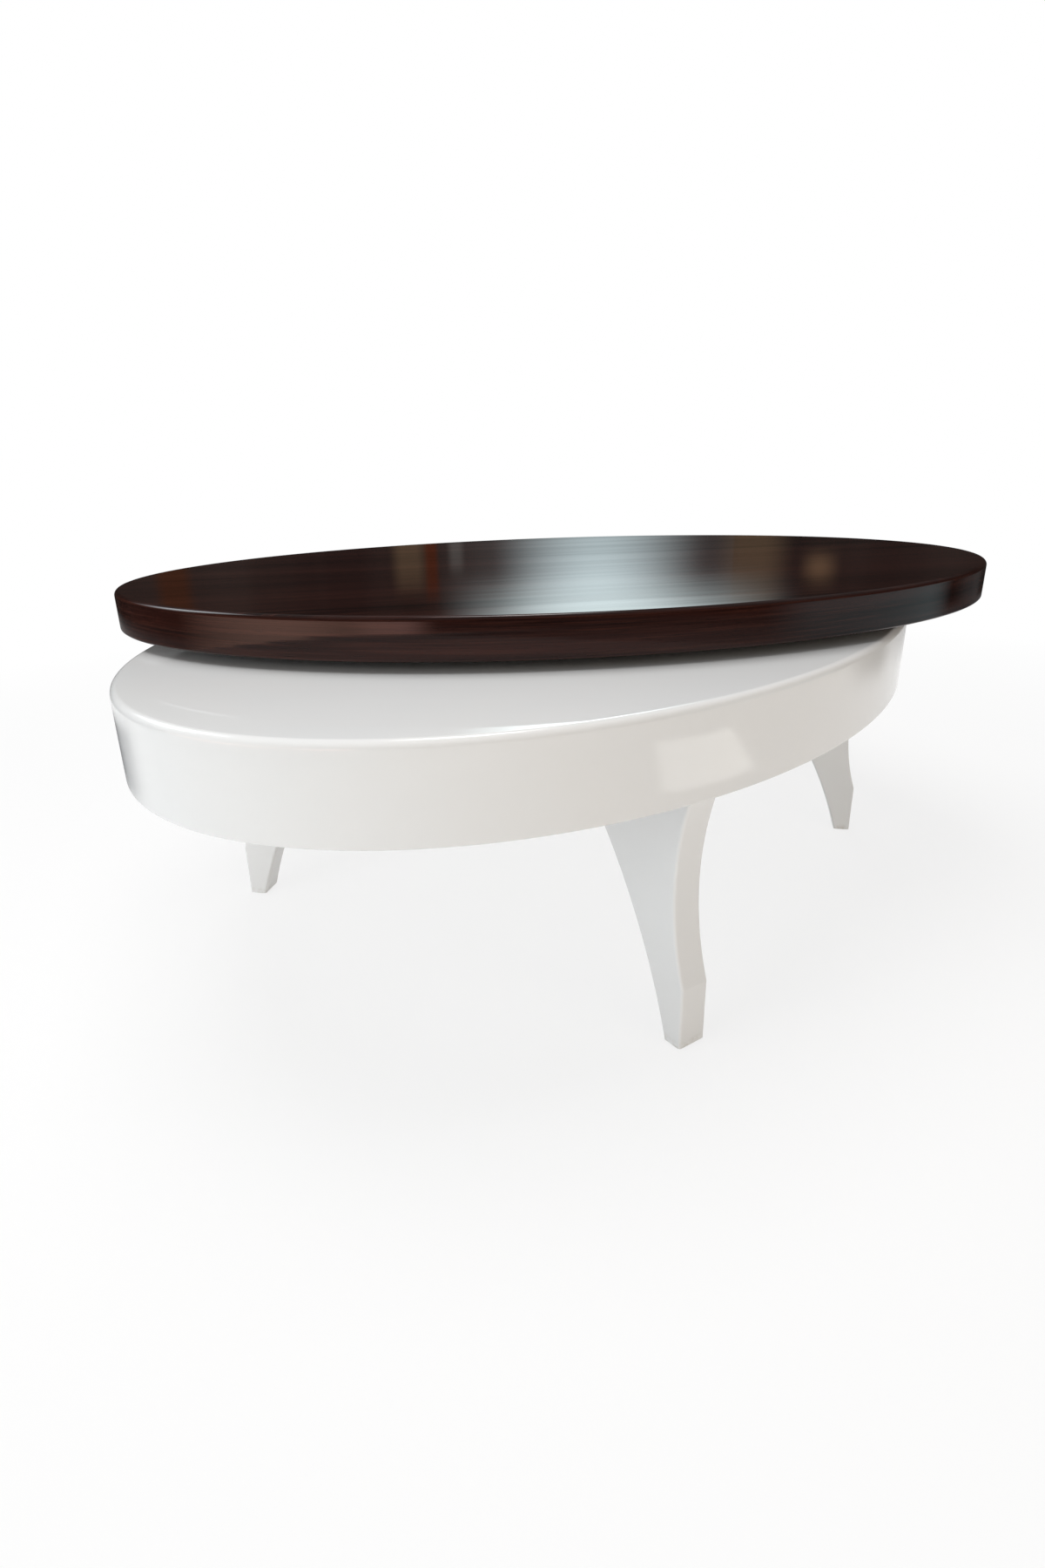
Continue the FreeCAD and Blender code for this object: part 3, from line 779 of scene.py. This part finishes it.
@dataclass
class SabreLeg:
    """One leg cut from board: a straight foot, a rounded ankle, a hollow waist and a hollow inner edge."""

    thickness: float = 34 * MM
    top_width: float = 186 * MM
    foot_length: float = 22 * MM
    waist_height: float = 170 * MM
    waist_depth: float = 17 * MM
    waist_radius: float = 310 * MM
    ankle_radius: float = 6 * MM
    inner_radius: float = 620 * MM
    edge_ease: float = 3 * MM
    inset: float = 24 * MM
    station: float = math.radians(58.4)
    ankle_facets: int = 4
    curve_facets: int = 24
    ease_facets: int = 5
    foot: float = field(init=False)
    top: float = field(init=False)

    def __post_init__(self) -> None:
        """Take the heights of foot and top from the solids."""
        low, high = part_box("leg_front_left")
        self.foot = low.z
        self.top = high.z

    def build(self) -> bpy.types.Object:
        """Model the leg in its own frame, with its outline's foot edge over the origin and X outwards.

        Returns:
            The finished piece.
        """
        waist = (self.waist_radius - self.waist_depth, self.waist_height)
        reach = self.waist_radius + self.ankle_radius
        drop = math.sqrt(self.waist_depth * (2 * reach - self.waist_depth))
        ankle = (-self.ankle_radius, self.waist_height - drop)
        share = self.ankle_radius / reach
        turn_over = (ankle[0] + share * (waist[0] - ankle[0]), ankle[1] + share * (waist[1] - ankle[1]))
        rise = self.top - waist[1]
        outer_top = (waist[0] - math.sqrt(self.waist_radius**2 - rise**2), self.top)
        inner_top = Vector((-self.top_width, self.top))
        inner_foot = Vector((-self.foot_length, self.foot))
        chord = inner_foot - inner_top
        sag = math.sqrt(self.inner_radius**2 - chord.length_squared / 4)
        hollow = (inner_top + inner_foot) / 2 + Vector((chord.y, -chord.x)).normalized() * sag

        bpy.ops.object.select_all(action="DESELECT")
        bpy.ops.mesh.primitive_plane_add(size=MM, location=(0.0, 0.0, 0.0))
        piece = start_piece("sabre_leg")
        bpy.ops.mesh.select_mode(type="VERT")
        bpy.ops.mesh.merge(type="CENTER")
        bpy.ops.transform.translate(value=(0.0, 0.0, self.foot))
        extrude((0.0, 0.0, ankle[1] - self.foot))
        spin_to(ankle, (0.0, ankle[1]), turn_over, self.ankle_facets)
        spin_to(waist, turn_over, outer_top, self.curve_facets)
        extrude((inner_top.x - outer_top[0], 0.0, 0.0))
        spin_to(tuple(hollow), tuple(inner_top), tuple(inner_foot), self.curve_facets)
        bpy.ops.mesh.select_all(action="SELECT")
        bpy.ops.mesh.edge_face_add()
        bpy.ops.transform.translate(value=(0.0, -self.thickness / 2, 0.0))
        extrude((0.0, self.thickness, 0.0))
        side = self.thickness / 2 - NEAR
        foot, top = self.foot + NEAR, self.top - NEAR
        select_edges(
            lambda a, b: a.y * b.y > 0.0 and abs(a.y) > side and max(a.z, b.z) > foot and min(a.z, b.z) < top
        )
        bevel(self.edge_ease, self.ease_facets)
        finish_piece(piece)
        return piece

    def stand(self, leg: bpy.types.Object, base: OvalBase, corner: str) -> bpy.types.Object:
        """Copy the leg to one corner of the base.

        Args:
            leg: The leg in its own frame.
            base: The base that it carries.
            corner: The corner's name.

        Returns:
            The placed copy.
        """
        bpy.ops.object.select_all(action="DESELECT")
        leg.select_set(True)
        bpy.context.view_layer.objects.active = leg
        bpy.ops.object.duplicate(linked=False)
        copy = bpy.context.object
        copy.name = f"sabre_{corner}"
        copy.data.name = copy.name
        across = 1.0 if "right" in corner else -1.0
        along = 1.0 if "back" in corner else -1.0
        half_x, half_y = base.length / 2, base.width / 2
        rim = Vector((across * half_x * math.cos(self.station), along * half_y * math.sin(self.station)))
        out = Vector((rim.x / half_x**2, rim.y / half_y**2)).normalized()
        spot = rim - self.inset * out
        settle(copy, math.atan2(out.y, out.x), (spot.x, spot.y, 0.0))
        return copy

    def dress(self, piece: bpy.types.Object, corner: str, finishes: Finishes) -> None:
        """Paint a placed leg and stand it in for its solid.

        Args:
            piece: The placed leg.
            corner: The corner's name.
            finishes: The table's finishes.
        """
        finishes.paint(piece, Slot.WHITE_LACQUER)
        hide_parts(f"leg_{corner}")
        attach(piece, Body.BASE.value)


@dataclass
class Fittings:
    """The solids that show as they are: frame, plates, screws, glides and bearing."""

    finishes: Finishes

    def dress(self) -> int:
        """Give every shown solid the finish of its slot.

        Returns:
            How many solids were dressed.
        """
        count = 0
        for row in frame["record"]["subparts"]:
            solid = frame["nodes"][row["node"]]
            if not solid.hide_render:
                self.finishes.paint(solid, Slot(row["material_slot"]))
                count += 1
        return count


# The studio


@dataclass(frozen=True)
class Card:
    """A glowing card that only shows in reflections.

    Bearing is seen from the camera, in degrees to the right of the way it looks, and distance is from the
    camera's foot. Span is the card's lowest and highest point, or on the floor how far it reaches along Y.
    Strength is the glow at the two ends of the span. Soft is how much of the width and of the span fades
    out at each side, where 0.5 is up to the middle.
    """

    name: str
    bearing: float
    distance: float
    width: float
    span: Pair
    glow: Colour
    strength: Pair
    soft: Pair
    stand: CardStand = CardStand.UPRIGHT


CARDS = (
    Card("window_low", 5.2, 2.48, 0.62, (0.40, 0.75), (0.80, 0.96, 1.0, 1.0), (0.28, 2.0), (0.5, 0.12)),
    Card("window_high", 6.4, 2.44, 1.06, (0.58, 1.70), (0.84, 0.985, 1.0, 1.0), (1.65, 7.6), (0.5, 0.16)),
    Card("window_haze", 5.2, 2.49, 1.05, (0.38, 0.90), (1.0, 0.97, 0.97, 1.0), (0.15, 0.15), (0.5, 0.3)),
    Card("pale_post", -4.0, 2.48, 0.06, (0.42, 0.62), (0.80, 0.78, 0.74, 1.0), (0.14, 0.14), (0.4, 0.3)),
    Card("red_post", -5.65, 2.48, 0.055, (0.42, 0.70), (0.60, 0.16, 0.07, 1.0), (0.13, 0.13), (0.35, 0.3)),
    Card("tan_post", -7.05, 2.47, 0.12, (0.42, 0.67), (0.55, 0.38, 0.24, 1.0), (0.20, 0.20), (0.35, 0.3)),
    Card("brown_post", -21.6, 2.35, 0.12, (0.42, 0.80), (0.60, 0.24, 0.12, 1.0), (0.10, 0.10), (0.35, 0.1)),
    Card("brown_wall", 15.0, 2.50, 0.24, (0.42, 0.75), (0.55, 0.38, 0.24, 1.0), (0.20, 0.20), (0.4, 0.1)),
    Card("orange_lamp", 19.1, 2.36, 0.12, (0.52, 0.63), (0.90, 0.56, 0.33, 1.0), (0.20, 0.20), (0.5, 0.5)),
    Card("left_window", -49.3, 1.77, 1.10, (0.70, 2.00), (0.86, 0.95, 1.0, 1.0), (6.0, 10.0), (0.5, 0.4)),
    Card("pink_curtain", -109.8, 0.555, 0.50, (0.08, 0.42), (1.0, 0.54, 0.48, 1.0), (3.4, 3.4), (0.40, 0.15)),
    Card("tan_curtain", -75.2, 0.85, 1.60, (0.13, 0.42), (1.0, 0.62, 0.50, 1.0), (2.7, 2.7), (0.50, 0.14)),
    Card("grey_screen", 62.0, 1.50, 1.30, (0.05, 0.60), (0.68, 0.95, 1.0, 1.0), (0.68, 0.68), (0.25, 0.3)),
    Card("dim_corner", 41.0, 2.02, 0.60, (0.0, 0.40), (0.10, 0.10, 0.10, 1.0), (1.0, 1.0), (0.4, 0.25)),
    Card("left_shade", -33.1, 1.81, 1.10, (-0.40, 0.40), (0.12, 0.12, 0.13, 1.0), (1.0, 1.0), (0.35, 0.35),
         CardStand.ON_FLOOR),
    Card("floor_pane", 65.5, 1.08, 0.50, (-0.20, 0.14), (1.0, 1.0, 0.97, 1.0), (2.5, 2.5), (0.16, 0.16),
         CardStand.ON_FLOOR),
)


@dataclass(frozen=True)
class Lamp:
    """A soft square lamp: where it hangs, the length of its side, its power in watts and its colour."""

    name: str
    place: Point
    size: float
    power: float
    tint: Point


LAMPS = (
    Lamp("key_lamp", (-2.5, 0.75, 0.70), 1.3, 22.0, (0.95, 0.985, 1.0)),
    Lamp("fill_lamp", (-1.1, -2.6, 0.7), 1.6, 18.5, (1.0, 0.86, 0.70)),
    Lamp("top_lamp", (-0.4, 0.3, 2.4), 1.6, 36.5, (1.0, 1.0, 1.0)),
    Lamp("back_lamp", (2.2, 1.7, 1.1), 1.8, 20.0, (1.0, 1.0, 1.0)),
)


@dataclass
class Studio:
    """Pale floor, soft lamps, dark drape with cards for the reflections, and the camera."""

    eye: Point = (-0.9686, -0.5635, 0.5503)
    heading: float = math.atan2(0.553, 0.833)
    pitch: float = math.radians(21.37)
    roll: float = math.radians(-1.26)
    focal_px: float = 979.0
    image_height_px: float = 1800.0
    film: float = 36.0
    clip: Pair = (0.01, 200.0)
    facets: int = 96
    floor_radius: float = 60.0
    floor_paint: Colour = (0.88, 0.88, 0.88, 1.0)
    floor_whitens: Pair = (0.6, 2.0)
    floor_white: Pair = (0.78, 1.0)
    drape_radius: float = 1.5
    drape_height: float = 2.2
    drape_folds: Point = (3.0, 3.0, 0.2)
    drape_dark: Colour = (0.012, 0.012, 0.012, 1.0)
    drape_light: Colour = (0.036, 0.032, 0.029, 1.0)
    drape_lightens: float = 0.75
    hem_fade: float = 0.21
    ceiling_glow: float = 0.35
    skylight_glow: float = 12.0
    skylight_radius: float = 0.6
    lamp_aim: Point = (0.0, 0.0, 0.3)
    world_fill: float = 0.31

    def set_camera(self) -> None:
        """Put the camera at the photograph's viewpoint."""
        data = bpy.data.cameras.new("viewpoint")
        data.sensor_width = self.film
        data.lens = self.focal_px / self.image_height_px * self.film
        data.clip_start, data.clip_end = self.clip
        camera = bpy.data.objects.new("viewpoint", data)
        bpy.context.scene.collection.objects.link(camera)
        level = math.cos(self.pitch)
        look = Vector((level * math.cos(self.heading), level * math.sin(self.heading), -math.sin(self.pitch)))
        turned = look.to_track_quat("-Z", "Y").to_matrix() @ Matrix.Rotation(self.roll, 3, "Z")
        camera.matrix_world = Matrix.Translation(self.eye) @ turned.to_4x4()
        bpy.context.scene.camera = camera

    def lay_floor(self) -> None:
        """Lay a pale floor that turns white away from the table and can't be seen from below."""
        bpy.ops.object.select_all(action="DESELECT")
        bpy.ops.mesh.primitive_circle_add(vertices=self.facets, radius=self.floor_radius, fill_type="NGON")
        floor = bpy.context.object
        floor.name = "floor"
        nodes = FinishNodes("pale_floor")
        distance = nodes.add("ShaderNodeVectorMath", {0: nodes.place()}, operation="LENGTH").outputs["Value"]
        white_share = nodes.spread(distance, self.floor_whitens, self.floor_white)
        share = nodes.maths("MULTIPLY", nodes.plainly_seen(), white_share)
        matt = nodes.add("ShaderNodeBsdfDiffuse", {"Color": self.floor_paint}).outputs[0]
        pale = nodes.mix(share, matt, nodes.glow(WHITE, 1.0))
        below = nodes.add("ShaderNodeNewGeometry", {}).outputs["Backfacing"]
        floor.data.materials.append(nodes.close(nodes.mix(below, pale, nodes.clear())))

    def hang_drape(self) -> None:
        """Hang a dark drape round the studio that only shows in reflections."""
        bpy.ops.object.select_all(action="DESELECT")
        bpy.ops.mesh.primitive_cylinder_add(
            vertices=self.facets, radius=self.drape_radius, depth=self.drape_height, end_fill_type="NOTHING",
            location=(0.0, 0.0, self.drape_height / 2),
        )
        drape = bpy.context.object
        drape.name = "drape"
        bpy.ops.object.transform_apply(location=True, rotation=True, scale=True)
        nodes = FinishNodes("dark_drape")
        fold = nodes.noise(nodes.stretched_place(self.drape_folds), 1.0, 3.0)
        dark = nodes.blend(nodes.spread(fold, (0.35, 0.65)), self.drape_dark, self.drape_light)
        height = nodes.add("ShaderNodeSeparateXYZ", {"Vector": nodes.place()}).outputs["Z"]
        upper_share = nodes.spread(height, (self.drape_lightens, self.drape_height))
        ceiling_tone = (self.ceiling_glow, self.ceiling_glow, self.ceiling_glow, 1.0)
        shade = nodes.blend(upper_share, dark, ceiling_tone)
        cover = nodes.spread(height, (0.0, self.hem_fade))
        drape.data.materials.append(nodes.close(nodes.mix(cover, nodes.clear(), nodes.glow(shade, 1.0))))
        self.reflections_only(drape)

    def hang_ceiling(self) -> None:
        """Close the drape with a dim ceiling round a soft skylight that only shows in reflections."""
        bpy.ops.object.select_all(action="DESELECT")
        bpy.ops.mesh.primitive_circle_add(
            vertices=self.facets, radius=self.drape_radius, fill_type="NGON",
            location=(0.0, 0.0, self.drape_height),
        )
        ceiling = bpy.context.object
        ceiling.name = "ceiling"
        nodes = FinishNodes("dim_ceiling")
        distance = nodes.add("ShaderNodeVectorMath", {0: nodes.place()}, operation="LENGTH").outputs["Value"]
        glows = (self.skylight_glow, self.ceiling_glow)
        strength = nodes.spread(distance, (0.0, self.skylight_radius), glows, smooth=True)
        ceiling.data.materials.append(nodes.close(nodes.glow(WHITE, strength)))
        self.reflections_only(ceiling)

    def reflections_only(self, piece: bpy.types.Object) -> None:
        """Let only reflections see a stage piece."""
        piece.visible_camera = False
        piece.visible_diffuse = False
        piece.visible_shadow = False
        piece.visible_transmission = False

    def hang_card(self, card: Card) -> None:
        """Hang one glowing card inside the drape.

        Args:
            card: The card.
        """
        bearing = self.heading - math.radians(card.bearing)
        ahead = Vector((math.cos(bearing), math.sin(bearing), 0.0))
        foot = Vector((self.eye[0], self.eye[1], 0.0)) + card.distance * ahead
        middle = sum(card.span) / 2
        bpy.ops.object.select_all(action="DESELECT")
        bpy.ops.mesh.primitive_plane_add(size=1.0)
        sheet = bpy.context.object
        sheet.name = card.name
        sheet.scale = (card.width, card.span[1] - card.span[0], 1.0)
        if card.stand is CardStand.UPRIGHT:
            sheet.rotation_euler = (math.pi / 2, 0.0, math.atan2(foot.y, foot.x) - math.pi / 2)
            sheet.location = foot + Vector((0.0, 0.0, middle))
        else:
            sheet.location = foot + Vector((0.0, middle, MM))
        half = 0.5
        nodes = FinishNodes(card.name)
        place = nodes.add("ShaderNodeSeparateXYZ", {"Vector": nodes.place()}).outputs
        fades = []
        for axis, soft in zip(("X", "Y"), card.soft):
            from_middle = nodes.maths("ABSOLUTE", place[axis])
            fades.append(nodes.spread(from_middle, (half - soft, half), (1.0, 0.0), smooth=True))
        cover = nodes.maths("MULTIPLY", *fades)
        strength = nodes.spread(place["Y"], (-half, half), card.strength)
        glow = nodes.glow(card.glow, strength)
        sheet.data.materials.append(nodes.close(nodes.mix(cover, nodes.clear(), glow)))
        self.reflections_only(sheet)

    def hang_lamp(self, lamp: Lamp) -> None:
        """Hang one lamp so that it looks at the table.

        Args:
            lamp: The lamp.
        """
        data = bpy.data.lights.new(lamp.name, "AREA")
        data.shape = "SQUARE"
        data.size = lamp.size
        data.energy = lamp.power
        data.color = lamp.tint
        hung = bpy.data.objects.new(lamp.name, data)
        hung.location = lamp.place
        hung.visible_glossy = False
        hung.rotation_euler = (Vector(self.lamp_aim) - Vector(lamp.place)).to_track_quat("-Z", "Y").to_euler()
        bpy.context.scene.collection.objects.link(hung)

    def set_world(self) -> None:
        """Make the surroundings white where they are seen and soft where they light the table."""
        world = bpy.data.worlds.new("white_room")
        world.use_nodes = True
        nodes = NodeMaker(world.node_tree)
        strength = nodes.spread(nodes.plainly_seen(), (0.0, 1.0), (self.world_fill, 1.0))
        background = nodes.add("ShaderNodeBackground", {"Color": WHITE, "Strength": strength})
        nodes.add("ShaderNodeOutputWorld", {"Surface": background.outputs[0]})
        bpy.context.scene.world = world

    def build(self) -> None:
        """Set up the whole studio."""
        bpy.context.scene.view_settings.view_transform = "Standard"
        self.set_camera()
        self.lay_floor()
        self.hang_drape()
        self.hang_ceiling()
        for card in CARDS:
            self.hang_card(card)
        for lamp in LAMPS:
            self.hang_lamp(lamp)
        self.set_world()


def main() -> None:
    """Build the table piece by piece, then the studio."""
    logging.basicConfig(level=logging.INFO, format="%(message)s")
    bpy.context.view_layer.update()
    finishes = Finishes()

    top = OvalTop()
    slab = top.build()
    top.dress(slab, finishes)
    log.info("piece %s", slab.name)

    base = OvalBase()
    shell = base.build()
    base.dress(shell, finishes)
    log.info("piece %s", shell.name)

    leg = SabreLeg()
    pattern = leg.build()
    for corner in CORNERS:
        copy = leg.stand(pattern, base, corner)
        leg.dress(copy, corner, finishes)
        log.info("piece %s", copy.name)
    bpy.data.objects.remove(pattern)

    count = Fittings(finishes).dress()
    log.info("dressed %d solids", count)

    Studio().build()


if __name__ == "__main__":
    main()
